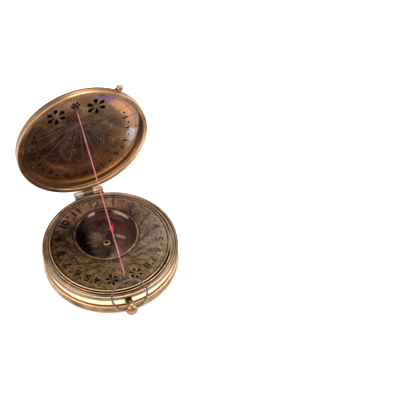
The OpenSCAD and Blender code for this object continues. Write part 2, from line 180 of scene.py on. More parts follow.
def ramp(tree, factor, stops):
    made = put(tree, "ValToRGB", {"Fac": factor})
    steps = made.color_ramp.elements
    while len(steps) < len(stops):
        steps.new(0.5)
    for step, (place, colour) in zip(steps, stops):
        step.position = place
        step.color = colour
    return made.outputs["Color"]


def toned(tree, factor, stops):
    return ramp(tree, factor, [(place, tone(*colour)) for place, colour in stops])


def mixed(tree, factor, a, b):
    made = put(tree, "Mix", {"Factor": factor}, data_type="RGBA")
    for index, value in ((6, a), (7, b)):
        if isinstance(value, bpy.types.NodeSocket):
            tree.links.new(value, made.inputs[index])
        else:
            made.inputs[index].default_value = value
    return made.outputs[2]


def noise(tree, vector, scale, detail=4.0, rough=0.6, warp=0.0):
    return put(tree, "TexNoise", {"Vector": vector, "Scale": scale, "Detail": detail, "Roughness": rough,
                                  "Distortion": warp}).outputs["Fac"]


def between(tree, value, low, high, outLow=0.0, outHigh=1.0):
    return put(tree, "MapRange", {"Value": value, "From Min": low, "From Max": high, "To Min": outLow,
                                  "To Max": outHigh}, interpolation_type="SMOOTHSTEP").outputs[0]


# the same over a span in mm
def across(tree, value, span, outLow=0.0, outHigh=1.0):
    return between(tree, value, span[0] * mm, span[1] * mm, outLow, outHigh)


def startMaterial(name):
    made = bpy.data.materials.new(name)
    made.use_nodes = True
    made.node_tree.nodes.clear()
    return made, made.node_tree


def closeMaterial(tree, shader):
    out = put(tree, "OutputMaterial")
    tree.links.new(shader.outputs[0], out.inputs["Surface"])


def finished(made, tree, values):
    closeMaterial(tree, put(tree, "BsdfPrincipled", values))
    return made


def bumped(tree, height, look):
    return put(tree, "Bump", {"Height": height, "Strength": look["bump"],
                              "Distance": look["bumpDepth"]}).outputs[0]


# coordinates about a turned piece's own axis; "dome" stays level along the lid's dome, "slant" runs
# across the highlight on the card
turned = {"domeCurve": 2.556, "slantRise": 0.72, "wallShare": 0.83, "ringStretch": 0.0006}


def turnedSpace(tree, middle=(0, 0, 0), onLid=False):
    coords = put(tree, "TexCoord").outputs["Object"]
    turn = lidTravel if onLid else 0
    hinge = Vector(lidHinge["pos_m"])
    shift = hinge - Matrix.Rotation(turn, 3, "X") @ hinge
    plain = put(tree, "Mapping", {"Vector": coords, "Rotation": (turn, 0, 0),
                                  "Location": shift - Vector(middle)}, vector_type="POINT").outputs[0]
    x, y, z = put(tree, "SeparateXYZ", {0: plain}).outputs
    flat = put(tree, "CombineXYZ", {0: x, 1: y}).outputs[0]
    radius = put(tree, "VectorMath", {0: flat}, operation="LENGTH").outputs["Value"]
    return {"plain": plain, "x": x, "y": y, "z": z, "radius": radius,
            "angle": sums(tree, "ARCTAN2", y, x),
            "dome": sums(tree, "MULTIPLY_ADD", times(tree, radius, radius), turned["domeCurve"], z),
            "slant": sums(tree, "MULTIPLY_ADD", x, turned["slantRise"], y)}


def turnedLines(tree, space, scale):
    along = sums(tree, "MULTIPLY_ADD", space["z"], turned["wallShare"], space["radius"])
    around = times(tree, space["angle"], turned["ringStretch"])
    ring = put(tree, "CombineXYZ", {0: along, 1: around}).outputs[0]
    return noise(tree, ring, scale, 3.0, 0.7)


# turned metal: mottled patina and fine lathe lines, with bands laid over them: wear and dirt, and also
# painted shade and painted highlights.
# A band follows one coordinate, in mm or thousandths of a radian: it comes in between "from" and
# "to", leaves between "until" and "gone", and "within" keeps it between other coordinates.
plainLook = {"middle": (0, 0, 0), "onLid": False, "blotches": 160, "grain": 1600, "grainTint": 0.3,
             "lineScale": 5200, "lineTint": 0.25, "lineDepth": 0.5, "blotchDepth": 0.5, "bump": 0.3,
             "bumpDepth": 0.00004, "rough": (0.25, 0.45), "bands": ()}


def agedMetal(name, look):
    look = {**plainLook, **look}
    made, tree = startMaterial(name)
    space = turnedSpace(tree, look["middle"], look["onLid"])
    blotches = noise(tree, space["plain"], look["blotches"], 5.0, 0.62, 0.4)
    grain = noise(tree, space["plain"], look["grain"], 3.0, 0.6)
    lines = turnedLines(tree, space, look["lineScale"])
    factor = swayed(tree, blotches, lines, look["lineTint"])
    factor = swayed(tree, factor, grain, look["grainTint"])
    colour = toned(tree, factor, look["colours"])
    for band in look["bands"]:
        mask = across(tree, space[band["by"]], (band["from"], band["to"]))
        if "until" in band:
            back = across(tree, space[band["by"]], (band["until"], band["gone"]), 1.0, 0.0)
            mask = times(tree, mask, back)
        for axis, start, stop in band.get("within", ()):
            mask = times(tree, mask, across(tree, space[axis], (start, stop)))
        # a band is thinner where the patina is dark
        wornAndLit = times(tree, mask, between(tree, blotches, 0.2, 0.5, 0.55, 1.0), band.get("amount", 1.0))
        colour = mixed(tree, wornAndLit, colour, tone(*band["colour"]))
    height = sums(tree, "MULTIPLY_ADD", lines, look["lineDepth"], times(tree, blotches, look["blotchDepth"]))
    dull = sums(tree, "MULTIPLY_ADD", grain, 0.4, blotches)
    return finished(made, tree, {
        "Base Color": colour, "Metallic": 1.0, "Normal": bumped(tree, height, look),
        "Roughness": between(tree, dull, 0.35, 1.0, *look["rough"])})


caseLook = {
    "colours": [(0.3, (84, 62, 44)), (0.5, (162, 127, 96)), (0.72, (210, 174, 136))], "blotches": 140,
    "rough": (0.28, 0.46), "lineTint": 0.35,
    "bands": [{"by": "z", "from": 4.9, "to": 5.3, "until": 5.7, "gone": 6.0, "colour": (222, 184, 136)},
              {"by": "z", "from": 2.2, "to": 0.2, "colour": (204, 160, 112), "amount": 0.7},
              # painted shade: near-black on the cup's wall in the gap round the dial's edge
              {"by": "z", "from": 11.0, "to": 12.0, "until": 13.2, "gone": 13.7, "colour": (9, 7, 6),
               "amount": 2.0},
              # painted shade: the cup's inside, under the dial, is near-black
              {"by": "z", "from": 0.5, "to": 1.0, "colour": (9, 7, 6), "amount": 2.0,
               "within": [("radius", 32, 31)]},
              {"by": "angle", "from": -620, "to": -350, "until": 2600, "gone": 2900,
               "colour": (132, 104, 82)}]}
bandLook = {
    "colours": [(0.22, (214, 182, 138)), (0.42, (252, 236, 204)), (0.75, (255, 246, 222))], "blotches": 90,
    "rough": (0.1, 0.24), "lineTint": 0.15, "bump": 0.12,
    "bands": [{"by": "z", "from": 6.8, "to": 6.3, "colour": (186, 132, 70)},
              {"by": "z", "from": 10.6, "to": 11.2, "colour": (196, 146, 84)}]}
bezelLook = {
    "colours": [(0.28, (100, 82, 68)), (0.5, (170, 145, 124)), (0.75, (208, 184, 162))], "blotches": 120,
    "rough": (0.22, 0.4), "lineTint": 0.45, "lineScale": 4200,
    "bands": [{"by": "z", "from": 12.85, "to": 13.05, "colour": (176, 140, 106), "amount": 0.6},
              # painted shade: darker from a radius of 35 mm outwards, on the bezel's outer slope
              {"by": "radius", "from": 35.0, "to": 35.5, "colour": (128, 102, 82), "amount": 0.8},
              {"by": "x", "from": 16, "to": 32, "colour": (70, 54, 42), "amount": 0.9}]}
glassRingLook = {
    "colours": [(0.28, (58, 41, 30)), (0.5, (108, 81, 58)), (0.75, (166, 132, 98))], "blotches": 260,
    "rough": (0.24, 0.4), "middle": compassMiddle}
bowlLook = {
    "colours": [(0.28, (90, 72, 72)), (0.5, (148, 128, 124)), (0.8, (204, 180, 170))], "rough": (0.3, 0.5),
    "middle": compassMiddle, "lineTint": 0.5, "bump": 0.05,
    "bands": [{"by": "z", "from": 9.4, "to": 11.2, "colour": (172, 146, 138), "amount": 0.9},
              {"by": "z", "from": 8.2, "to": 8.5, "until": 8.9, "gone": 9.3, "colour": (222, 196, 186)},
              # painted shade: the left of the bowl goes near-black
              {"by": "x", "from": -3, "to": -14, "colour": (30, 21, 22), "amount": 1.5}]}
cardLook = {
    "colours": [(0.28, (84, 65, 58)), (0.5, (148, 120, 106)), (0.8, (210, 178, 156))], "blotches": 240,
    "rough": (0.3, 0.5), "middle": compassMiddle, "bump": 0.05,
    "bands": [{"by": "x", "from": 1, "to": 9, "colour": (102, 82, 62), "amount": 0.8},
              {"by": "radius", "from": 7.5, "to": 3.5, "colour": (176, 138, 112), "amount": 0.7},
              # painted reflection: a pale crescent across the card, as the glass shows it
              {"by": "slant", "from": 9.6, "to": 10.8, "until": 11.2, "gone": 13.0, "colour": (250, 234, 222),
               "amount": 0.55, "within": [("x", 6.0, 7.6), ("x", 12.0, 10.4)]},
              # painted shade: the left of the card goes near-black, as the bowl's does
              {"by": "x", "from": -1, "to": -14, "colour": (30, 21, 22), "amount": 1.5}]}
lidLook = {
    "colours": [(0.25, (106, 72, 50)), (0.5, (148, 108, 78)), (0.78, (184, 142, 104))], "blotches": 60,
    "rough": (0.36, 0.52), "lineTint": 0.7, "lineScale": 3600, "lineDepth": 1.0, "bump": 0.5, "onLid": True,
    "bands": [{"by": "y", "from": 4, "to": 24, "colour": (84, 60, 44), "amount": 0.85},
              # painted highlight: a thin bright streak along the inside of the wall, on the hinge's side
              {"by": "dome", "from": 17.6, "to": 17.9, "until": 18.2, "gone": 18.5, "colour": (255, 222, 170),
               "within": [("radius", 34.3, 34.1), ("y", 8, 18), ("x", -14, 4)]},
              # painted shade: darker where the plate meets the shell, and near-black in the hollow behind the
              # plate
              {"by": "dome", "from": 21.2, "to": 21.1, "until": 20.0, "gone": 19.5, "colour": (84, 62, 46)},
              {"by": "dome", "from": 21.2, "to": 21.1, "until": 20.3, "gone": 20.0, "colour": (9, 7, 6),
               "amount": 2.0, "within": [("radius", 31, 30)]},
              {"by": "radius", "from": 34.9, "to": 35.2, "colour": (232, 188, 146),
               "within": [("y", 2, 14)]}]}
rimLook = {
    "colours": [(0.28, (84, 60, 42)), (0.5, (134, 100, 74)), (0.75, (168, 132, 98))], "blotches": 110,
    "rough": (0.26, 0.4), "lineTint": 0.4, "onLid": True,
    "bands": [{"by": "radius", "from": 35.5, "to": 35.9, "colour": (186, 146, 108)},
              {"by": "y", "from": 0, "to": 16, "colour": (226, 186, 146), "within": [("x", -24, 0)]}]}
leafLook = {
    "colours": [(0.3, (128, 118, 104)), (0.5, (202, 194, 182)), (0.75, (236, 232, 224))], "blotches": 420,
    "rough": (0.3, 0.5), "bands": [{"by": "x", "from": 3, "to": 6, "colour": (206, 154, 118), "amount": 0.8}]}
lidLeafLook = {
    "colours": [(0.3, (96, 72, 54)), (0.5, (148, 118, 96)), (0.75, (180, 150, 122))], "blotches": 380,
    "rough": (0.3, 0.5), "onLid": True}
ballLook = {
    "colours": [(0.28, (104, 72, 52)), (0.5, (168, 128, 98)), (0.78, (214, 180, 148))], "blotches": 380,
    "rough": (0.18, 0.34), "lineTint": 0.2, "bump": 0.2,
    # painted shade: the neck behind the ball is darker
    "bands": [{"by": "y", "from": -38.9, "to": -38.2, "until": -10, "gone": 0, "colour": (104, 76, 54)}]}
ringLook = {
    "colours": [(0.28, (72, 58, 56)), (0.5, (106, 88, 86)), (0.8, (150, 130, 126))], "blotches": 700,
    "rough": (0.3, 0.46), "lineTint": 0.1}
steelLook = {
    "colours": [(0.3, (120, 118, 114)), (0.6, (170, 168, 164)), (0.8, (196, 194, 190))], "rough": (0.2, 0.35)}
capLook = {
    "colours": [(0.3, (172, 140, 96)), (0.5, (226, 194, 140)), (0.8, (250, 230, 190))], "blotches": 900,
    "rough": (0.2, 0.34), "middle": compassMiddle,
    "bands": [{"by": "radius", "from": 1.05, "to": 0.85, "colour": (12, 9, 8), "amount": 2.0}]}


def paintNodes(finish, *names):
    for name in names:
        coat(nodes[name], finish)


# a cloud of stains, drawn from a noise
def stains(tree, space, look):
    cloud = noise(tree, space["plain"], look["scale"], 4.0, 0.65, look["warp"])
    return times(tree, between(tree, cloud, *look["range"]), look["amount"])


# dial plate: mottled dark patina, greener and bluer on its right, where it is also paler and greyer, partly
# worn and partly a painted reflection, with a bevelled edge made bright by a painted highlight
dialLook = {
    "middle": (-0.00015, 0, 0), "blotches": 300, "fine": 1400, "fineShare": 0.7, "rough": (0.34, 0.6),
    "bump": 0.35, "bumpDepth": 0.00006,
    "brown": ((0.3, (26, 18, 14)), (0.46, (66, 50, 34)), (0.6, (102, 78, 52)), (0.76, (156, 122, 84))),
    "wornAndLit": ((0.3, (40, 37, 36)), (0.47, (87, 72, 57)), (0.6, (116, 96, 76)), (0.76, (156, 132, 106))),
    "side": (-12, 26), "sideSlope": 0.55, "sideShare": 0.85,
    "blue": {"scale": 260, "warp": 1.2, "range": (0.5, 0.64), "amount": 0.5}, "blueColour": (62, 76, 84),
    "rust": {"scale": 330, "warp": 0.9, "range": (0.56, 0.68), "amount": 0.45}, "rustColour": (154, 112, 62),
    "rubbed": (14, 28), "rubbedColour": (215, 174, 140),
    "bevel": (31.6, 31.75), "bevelFront": (2, -24), "bevelHighlightColours": ((128, 100, 72), (232, 194, 140)),
    "edge": (14.55, 14.45), "edgeShadeColour": (8, 6, 5)}


def dialFinish():
    made, tree = startMaterial("dialPatina")
    space = turnedSpace(tree, dialLook["middle"])
    blotches = noise(tree, space["plain"], dialLook["blotches"], 6.0, 0.68, 0.8)
    fine = noise(tree, space["plain"], dialLook["fine"], 4.0, 0.7)
    factor = swayed(tree, blotches, fine, dialLook["fineShare"])
    # towards the right the paler, greyer colours are partly wear and partly a painted reflection; the blue
    # stains lie there too
    side = across(tree, sums(tree, "MULTIPLY_ADD", space["y"], dialLook["sideSlope"], space["x"]),
                  dialLook["side"])
    colour = mixed(tree, times(tree, side, dialLook["sideShare"]), toned(tree, factor, dialLook["brown"]),
                   toned(tree, factor, dialLook["wornAndLit"]))
    blue = times(tree, stains(tree, space, dialLook["blue"]), side)
    colour = mixed(tree, blue, colour, tone(*dialLook["blueColour"]))
    rust = stains(tree, space, dialLook["rust"])
    colour = mixed(tree, rust, colour, tone(*dialLook["rustColour"]))
    # paler towards the hinge, where hands and the closed lid have rubbed it
    back = times(tree, across(tree, space["y"], dialLook["rubbed"]),
                 between(tree, factor, 0.3, 0.8, 0.3, 1.0))
    colour = mixed(tree, back, colour, tone(*dialLook["rubbedColour"]))
    # the bevel has a painted highlight at the front left and is dull elsewhere; below it the edge is black, a
    # painted shade in the gap round the dial
    front = across(tree, sums(tree, "ADD", space["x"], space["y"]), dialLook["bevelFront"])
    bevel = mixed(tree, front, *[tone(*colour) for colour in dialLook["bevelHighlightColours"]])
    colour = mixed(tree, across(tree, space["radius"], dialLook["bevel"]), colour, bevel)
    colour = mixed(tree, across(tree, space["z"], dialLook["edge"]), colour, tone(*dialLook["edgeShadeColour"]))
    height = sums(tree, "MULTIPLY_ADD", fine, 0.5, blotches)
    return finished(made, tree, {
        "Base Color": colour, "Metallic": 1.0, "Normal": bumped(tree, height, dialLook),
        "Roughness": between(tree, factor, 0.2, 0.9, *dialLook["rough"])})


# tarnish along the lid plate's right edge: violet, orange, then a bare grey patch and a brassy end.
# Angles are in radians; it lies outside a line that comes in from the edge and goes back out to it
tarnish = {
    "wobble": 0.006, "slant": -15.0, "slantFrom": 28, "sway": 0.2,
    "inward": (-1.42, -0.74), "edgeAt": 30.6, "deepAt": 25.2, "outward": (0.2, 0.66), "outwardRise": 6,
    "border": (0, 0.7), "start": (-1.4, -1.3), "end": (0.9, 0.6), "amount": 0.92, "sweep": (-1.3, 0.95),
    "colours": ((0.0, (104, 78, 112)), (0.08, (124, 92, 118)), (0.13, (186, 134, 100)),
                (0.3, (196, 142, 96)), (0.5, (180, 130, 96)), (0.64, (166, 118, 98)),
                (0.66, (196, 190, 184)), (0.88, (182, 174, 166)), (0.91, (150, 116, 82)),
                (1.0, (130, 100, 68))),
    "specks": (0.48, 0.66), "speckShare": 0.4, "speckColour": (128, 104, 90),
    "grey": (30.2, 31.8), "greyShare": 0.7, "greyColour": (118, 104, 98)}


def tarnished(tree, space, wobble, fine, colour):
    beyond = sums(tree, "SUBTRACT", space["radius"], tarnish["slantFrom"] * mm)
    turn = sums(tree, "MULTIPLY_ADD", beyond, tarnish["slant"], space["angle"])
    turn = swayed(tree, turn, fine, tarnish["sway"])
    inner = sums(tree, "ADD",
                 between(tree, space["angle"], *tarnish["inward"], tarnish["edgeAt"] * mm,
                         tarnish["deepAt"] * mm),
                 between(tree, space["angle"], *tarnish["outward"], 0.0, tarnish["outwardRise"] * mm))
    out = across(tree, sums(tree, "SUBTRACT", wobble, inner), tarnish["border"])
    side = times(tree, between(tree, turn, *tarnish["start"]), between(tree, turn, *tarnish["end"], 0.0, 1.0))
    tint = toned(tree, between(tree, turn, *tarnish["sweep"]), tarnish["colours"])
    specks = between(tree, fine, *tarnish["specks"], 0.0, tarnish["speckShare"])
    tint = mixed(tree, specks, tint, tone(*tarnish["speckColour"]))
    grey = times(tree, across(tree, space["radius"], tarnish["grey"]), tarnish["greyShare"])
    tint = mixed(tree, grey, tint, tone(*tarnish["greyColour"]))
    return mixed(tree, times(tree, side, out, tarnish["amount"]), colour, tint)


# lid plate: glossy dark bronze, paler to the right and the front, with that tarnish
plateLook = {
    "blotches": 120, "fine": 700, "fineShare": 0.5, "rough": (0.16, 0.32), "bump": 0.1, "bumpDepth": 0.00008,
    "bronze": ((0.28, (124, 93, 67)), (0.5, (155, 121, 91)), (0.75, (180, 144, 110))),
    "right": (2, 22), "rightShare": 0.7, "rightColour": (214, 170, 128),
    "front": (-8, -28), "frontShare": 0.6, "frontColour": (214, 172, 134),
    "dark": (19.5, 24), "darkSlope": -0.8, "darkShare": 0.7, "darkColour": (92, 68, 54),
    "reflectedArc": ((20.4, 21.2), (23.4, 22.2)), "reflectedArcTurn": ((1.9, 2.2), (3.0, 2.7)), "reflectedArcShare": 0.6,
    "reflectedArcColour": (232, 180, 122),
    "polished": (29.6, 31.2), "polishedBack": (8, 22), "polishedShare": 0.8,
    "polishedColour": (226, 190, 150)}


def plateFinish():
    made, tree = startMaterial("plateBronze")
    space = turnedSpace(tree, onLid=True)
    blotches = noise(tree, space["plain"], plateLook["blotches"], 5.0, 0.65, 0.6)
    fine = noise(tree, space["plain"], plateLook["fine"], 4.0, 0.65)
    factor = swayed(tree, blotches, fine, plateLook["fineShare"])
    colour = toned(tree, factor, plateLook["bronze"])
    right = across(tree, space["x"], plateLook["right"], 0.0, plateLook["rightShare"])
    colour = mixed(tree, right, colour, tone(*plateLook["rightColour"]))
    front = across(tree, space["y"], plateLook["front"], 0.0, plateLook["frontShare"])
    colour = mixed(tree, front, colour, tone(*plateLook["frontColour"]))
    # darker between the rosettes and the tarnish
    corner = sums(tree, "MULTIPLY_ADD", space["y"], plateLook["darkSlope"], space["x"])
    dark = across(tree, corner, plateLook["dark"], 0.0, plateLook["darkShare"])
    colour = mixed(tree, dark, colour, tone(*plateLook["darkColour"]))
    wobble = swayed(tree, space["radius"], blotches, tarnish["wobble"])
    colour = tarnished(tree, space, wobble, fine, colour)
    # painted reflection of the dial's edge: a pale arc on the plate, at the hinge and left
    reflectedArc = times(tree, *[across(tree, wobble, span) for span in plateLook["reflectedArc"]],
                *[between(tree, space["angle"], *span) for span in plateLook["reflectedArcTurn"]],
                plateLook["reflectedArcShare"])
    colour = mixed(tree, reflectedArc, colour, tone(*plateLook["reflectedArcColour"]))
    # a polished ring next to the wall, on the hinge's side
    shiny = times(tree, across(tree, space["radius"], plateLook["polished"]),
                  across(tree, space["y"], plateLook["polishedBack"], 0.0, plateLook["polishedShare"]))
    colour = mixed(tree, shiny, colour, tone(*plateLook["polishedColour"]))
    return finished(made, tree, {
        "Base Color": colour, "Metallic": 1.0, "Normal": bumped(tree, factor, plateLook),
        "Roughness": between(tree, factor, 0.2, 0.9, *plateLook["rough"])})


# needle: dark bronze, its north end painted red
needleLook = {
    "heading": math.radians(33), "redFrom": 9.2, "grain": 900, "rough": (0.3, 0.45), "bump": 0.2,
    "bumpDepth": 0.00004, "metal": ((0.3, (58, 44, 42)), (0.55, (94, 74, 68)), (0.8, (128, 104, 94))),
    "paint": ((0.3, (226, 14, 44)), (0.7, (246, 38, 64)))}


def needleFinish():
    made, tree = startMaterial("needleBronze")
    coords = put(tree, "TexCoord").outputs["Object"]
    turn = needleLook["heading"]
    middle = Matrix.Rotation(turn, 3, "Z") @ Vector(compassMiddle)
    along = put(tree, "Mapping", {"Vector": coords, "Rotation": (0, 0, turn), "Location": -middle},
                vector_type="POINT").outputs[0]
    parts = put(tree, "SeparateXYZ", {0: along}).outputs
    grain = noise(tree, coords, needleLook["grain"])
    red = sums(tree, "GREATER_THAN", parts[1], needleLook["redFrom"] * mm)
    colour = mixed(tree, red, toned(tree, grain, needleLook["metal"]),
                   toned(tree, grain, needleLook["paint"]))
    return finished(made, tree, {
        "Base Color": colour, "Metallic": sums(tree, "SUBTRACT", 1.0, red),
        "Roughness": between(tree, grain, 0.3, 0.8, *needleLook["rough"]),
        "Normal": bumped(tree, grain, needleLook)})


# compass glass: clear, with a weak reflection; two painted highlights lie on its edge as pale streaks, behind
# right and behind left
glassLook = {
    "smear": 90, "clear": (0.96, 0.93, 0.94, 1), "ior": 1.3, "reflection": 0.15, "rough": (0.03, 0.09),
    "gloss": ((0.3, (200, 206, 204)), (0.8, (226, 230, 228))), "edge": (15.9, 16.8), "edgeShare": 0.5,
    "ground": ((0.3, (250, 248, 245)), (0.8, (255, 254, 252))), "glintRough": 0.45,
    "glintAt": (15.75, 16.15), "glintStreaks": (((0.36, 0.6), (1.08, 0.9)), ((1.6, 1.7), (1.95, 1.8)))}


def glassFinish():
    made, tree = startMaterial("compassGlass")
    space = turnedSpace(tree, compassMiddle)
    smear = noise(tree, space["plain"], glassLook["smear"], 4.0, 0.6, 0.6)
    clear = put(tree, "BsdfTransparent", {"Color": glassLook["clear"]})
    gloss = put(tree, "BsdfPrincipled", {
        "Base Color": toned(tree, smear, glassLook["gloss"]), "Metallic": 1.0,
        "Roughness": between(tree, smear, 0.3, 0.8, *glassLook["rough"])})
    # the pale streaks are painted highlights: a white matt shader laid on the glass's rim
    ground = put(tree, "BsdfPrincipled", {
        "Base Color": toned(tree, smear, glassLook["ground"]), "Roughness": glassLook["glintRough"]})
    edge = across(tree, space["radius"], glassLook["edge"], 0.0, glassLook["edgeShare"])
    facing = times(tree, put(tree, "Fresnel", {"IOR": glassLook["ior"]}).outputs[0], glassLook["reflection"])
    glintStreaks = [times(tree, *[between(tree, space["angle"], *span) for span in spans])
               for spans in glassLook["glintStreaks"]]
    glint = times(tree, sums(tree, "ADD", *glintStreaks), across(tree, space["radius"], glassLook["glintAt"]))
    both = put(tree, "MixShader", {0: sums(tree, "MAXIMUM", facing, edge), 1: clear.outputs[0],
                                   2: gloss.outputs[0]})
    whole = put(tree, "MixShader", {0: glint, 1: both.outputs[0], 2: ground.outputs[0]})
    closeMaterial(tree, whole)
    return made


# inlay: wax or dust rubbed into engraved lines and numerals; on the right half of the dial the numerals'
# inlay is paled, partly worn and partly a painted reflection
inlays = {
    "inlayBlack": {"dark": (4, 3, 4), "light": (20, 16, 15), "rough": 0.8, "shine": 0.05},
    "inlayPaledRight": {"dark": (4, 3, 4), "light": (20, 16, 15), "rough": 0.8, "shine": 0.05,
                   "paledRight": (76, 68, 60)},
    "inlayDust": {"dark": (92, 80, 66), "light": (138, 122, 98), "rough": 0.45, "metallic": 0.6},
    # not an inlay: the pale strokes on the card, a painted reflection of the lid's fan lines
    "fanReflectionPale": {"dark": (166, 142, 98), "light": (222, 196, 142), "rough": 0.6, "shine": 0.2},
    "inlayGrey": {"dark": (76, 67, 66), "light": (116, 105, 104), "rough": 0.45, "metallic": 0.6},
    # painted shade: darkens the lid's knot, seen in its hole
    "knotShade": {"dark": (44, 18, 22), "light": (84, 38, 44), "rough": 0.7, "shine": 0.2}}
inlayWear = {"slope": 0.5, "span": (-2, 12), "grain": 1500, "bump": 0.4, "bumpDepth": 0.00003, "spread": 0.2}


def inlayFinish(name):
    look = inlays[name]
    made, tree = startMaterial(name)
    coords = put(tree, "TexCoord").outputs["Object"]
    grain = noise(tree, coords, inlayWear["grain"], 4.0, 0.7)
    colour = toned(tree, grain, ((0.35, look["dark"]), (0.75, look["light"])))
    # on the dial's right the inlay is paled, partly wear and partly a painted reflection
    if "paledRight" in look:
        parts = put(tree, "SeparateXYZ", {0: coords}).outputs
        gone = across(tree, sums(tree, "MULTIPLY_ADD", parts[1], inlayWear["slope"], parts[0]),
                      inlayWear["span"])
        wornAndLit = times(tree, gone, between(tree, grain, 0.35, 0.6, 0.4, 0.95))
        colour = mixed(tree, wornAndLit, colour, tone(*look["paledRight"]))
    roughness = between(tree, grain, 0.3, 0.8, look["rough"], look["rough"] + inlayWear["spread"])
    return finished(made, tree, {
        "Base Color": colour, "Metallic": look.get("metallic", 0.0),
        "Specular IOR Level": look.get("shine", 0.5),
        "Roughness": roughness, "Normal": bumped(tree, grain, inlayWear)})


# jewel: dark red, with a faint veil inside
jewelLook = {"veil": 1800, "colours": ((0.3, (60, 6, 14)), (0.8, (110, 18, 30))), "rough": 0.08}


def jewelFinish():
    made, tree = startMaterial("jewelRed")
    coords = put(tree, "TexCoord").outputs["Object"]
    veil = noise(tree, coords, jewelLook["veil"], 3.0)
    return finished(made, tree, {
        "Base Color": toned(tree, veil, jewelLook["colours"]), "Roughness": jewelLook["rough"]})


# thread: soft pink, with painted shade where it leaves the holes
threadLook = {
    "fluff": 2600, "tint": 160, "fluffShare": 0.8, "rough": 0.85, "sheen": 0.4, "bump": 0.6,
    "bumpDepth": 0.00008, "colours": ((0.25, (164, 80, 92)), (0.5, (212, 122, 130)), (0.8, (236, 164, 162))),
    "shadedEnds": (((18.5, 15), 0.85, (84, 48, 56)), ((72.5, 74.5), 0.9, (60, 32, 40)))}


def threadFinish():
    made, tree = startMaterial("threadPink")
    coords = put(tree, "TexCoord").outputs["Object"]
    fluff = noise(tree, coords, threadLook["fluff"], 4.0, 0.7)
    factor = swayed(tree, noise(tree, coords, threadLook["tint"], 3.0), fluff, threadLook["fluffShare"])
    height = put(tree, "SeparateXYZ", {0: coords}).outputs[2]
    colour = toned(tree, factor, threadLook["colours"])
    # painted shade darkens the thread near each hole
    for span, share, endShade in threadLook["shadedEnds"]:
        colour = mixed(tree, across(tree, height, span, 0.0, share), colour, tone(*endShade))
    return finished(made, tree, {
        "Base Color": colour, "Roughness": threadLook["rough"], "Sheen Weight": threadLook["sheen"],
        "Normal": bumped(tree, fluff, threadLook)})


blackInlay, dialInlay, dustInlay, fanReflectionPaint, greyInlay, knotShade = [inlayFinish(name) for name in inlays]
pinkThread = threadFinish()
for name, look, painted in (
        ("caseBrass", caseLook, ["case_cup"]), ("bandBrass", bandLook, ["waist_band"]),
        ("bezelBrass", bezelLook, ["case_bezel"]), ("glassRingBrass", glassRingLook, ["glass_ring"]),
        ("bowlBrass", bowlLook, ["compass_bowl"]), ("cardBrass", cardLook, ["compass_card"]),
        ("lidBrass", lidLook, ["lid_shell"]), ("rimBrass", rimLook, ["lid_rim"]),
        ("leafMetal", leafLook, ["hinge_leaf_case", "hinge_pin", "bow_nut"]),
        ("lidLeafBrass", lidLeafLook, ["hinge_leaf_lid", "knob_collar"]),
        ("copperGold", ballLook, ["bow_post", "lid_knob"]), ("ringMetal", ringLook, ["bow_ring"]),
        ("pivotSteel", steelLook, ["pivot_post"]), ("capBrass", capLook, ["needle_cap"])):
    paintNodes(agedMetal(name, look), *painted)
paintNodes(dialFinish(), "dial_plate")
paintNodes(plateFinish(), "lid_plate")
paintNodes(needleFinish(), "needle_blade")
paintNodes(glassFinish(), "compass_glass")
paintNodes(jewelFinish(), "needle_jewel")
paintNodes(pinkThread, "case_knot")
# painted shade: the lid's knot is dark where it sits in its hole
paintNodes(knotShade, "lid_knot")
print("finishes laid on the nodes")


# engraving: blanks that are copied along the dial, the card and the lid; sizes from here on in mm
engraving = {"depth": 0.05, "swell": 0.2, "taper": 0.35, "dotSides": 16, "dotBevel": 0.25, "petalLean": -0.55,
             "ringSides": (144, 8), "textSteps": 3}


def lineBlank():
    bpy.ops.mesh.primitive_cube_add(size=1)
    made = bpy.context.object
    bpy.ops.object.mode_set(mode="EDIT")
    bpy.ops.mesh.subdivide(number_cuts=1)
    bpy.ops.mesh.select_all(action="DESELECT")
    bpy.ops.object.mode_set(mode="OBJECT")
    # both ends taper, as a graver leaves them
    for corner in made.data.vertices:
        corner.select = abs(corner.co.x) > 0.4
    bpy.ops.object.mode_set(mode="EDIT")
    bpy.ops.transform.resize(value=(1, engraving["taper"], 1))
    bpy.ops.object.mode_set(mode="OBJECT")
    return made


def dotBlank():
    bpy.ops.mesh.primitive_cylinder_add(vertices=engraving["dotSides"], radius=1, depth=2)
    made = bpy.context.object
    bpy.ops.object.mode_set(mode="EDIT")
    bpy.ops.mesh.select_all(action="SELECT")
    bpy.ops.mesh.bevel(offset=engraving["dotBevel"], segments=2, affect="EDGES")
    bpy.ops.object.mode_set(mode="OBJECT")
    return made


def petalBlank():
    bpy.ops.mesh.primitive_cone_add(vertices=4, radius1=1, radius2=0, depth=1, location=(0, 0, 0.5))
    made = bpy.context.object
    for corner in made.data.vertices:
        corner.select = corner.co.z > 0.4
    bpy.ops.object.mode_set(mode="EDIT")
    bpy.ops.mesh.select_mode(type="VERT")
    bpy.ops.transform.translate(value=(0, engraving["petalLean"], 0))
    bpy.ops.object.mode_set(mode="OBJECT")
    return settle(made, smooth=False)


aLine = lineBlank()
aDot = dotBlank()
aPetal = petalBlank()


# z is the surface's height in metres, everything else is in mm
def engravedLine(start, end, z, width):
    span = end - start
    middle = (start + end) / 2
    return copyOf(aLine, (middle.x * mm, middle.y * mm, z), math.atan2(span.y, span.x),
                  (span.length * mm, width * mm, 2 * engraving["depth"] * mm))


def engravedDot(spot, z, radius):
    return copyOf(aDot, (spot.x * mm, spot.y * mm, z), 0,
                  (radius * mm, radius * mm, engraving["depth"] * mm))


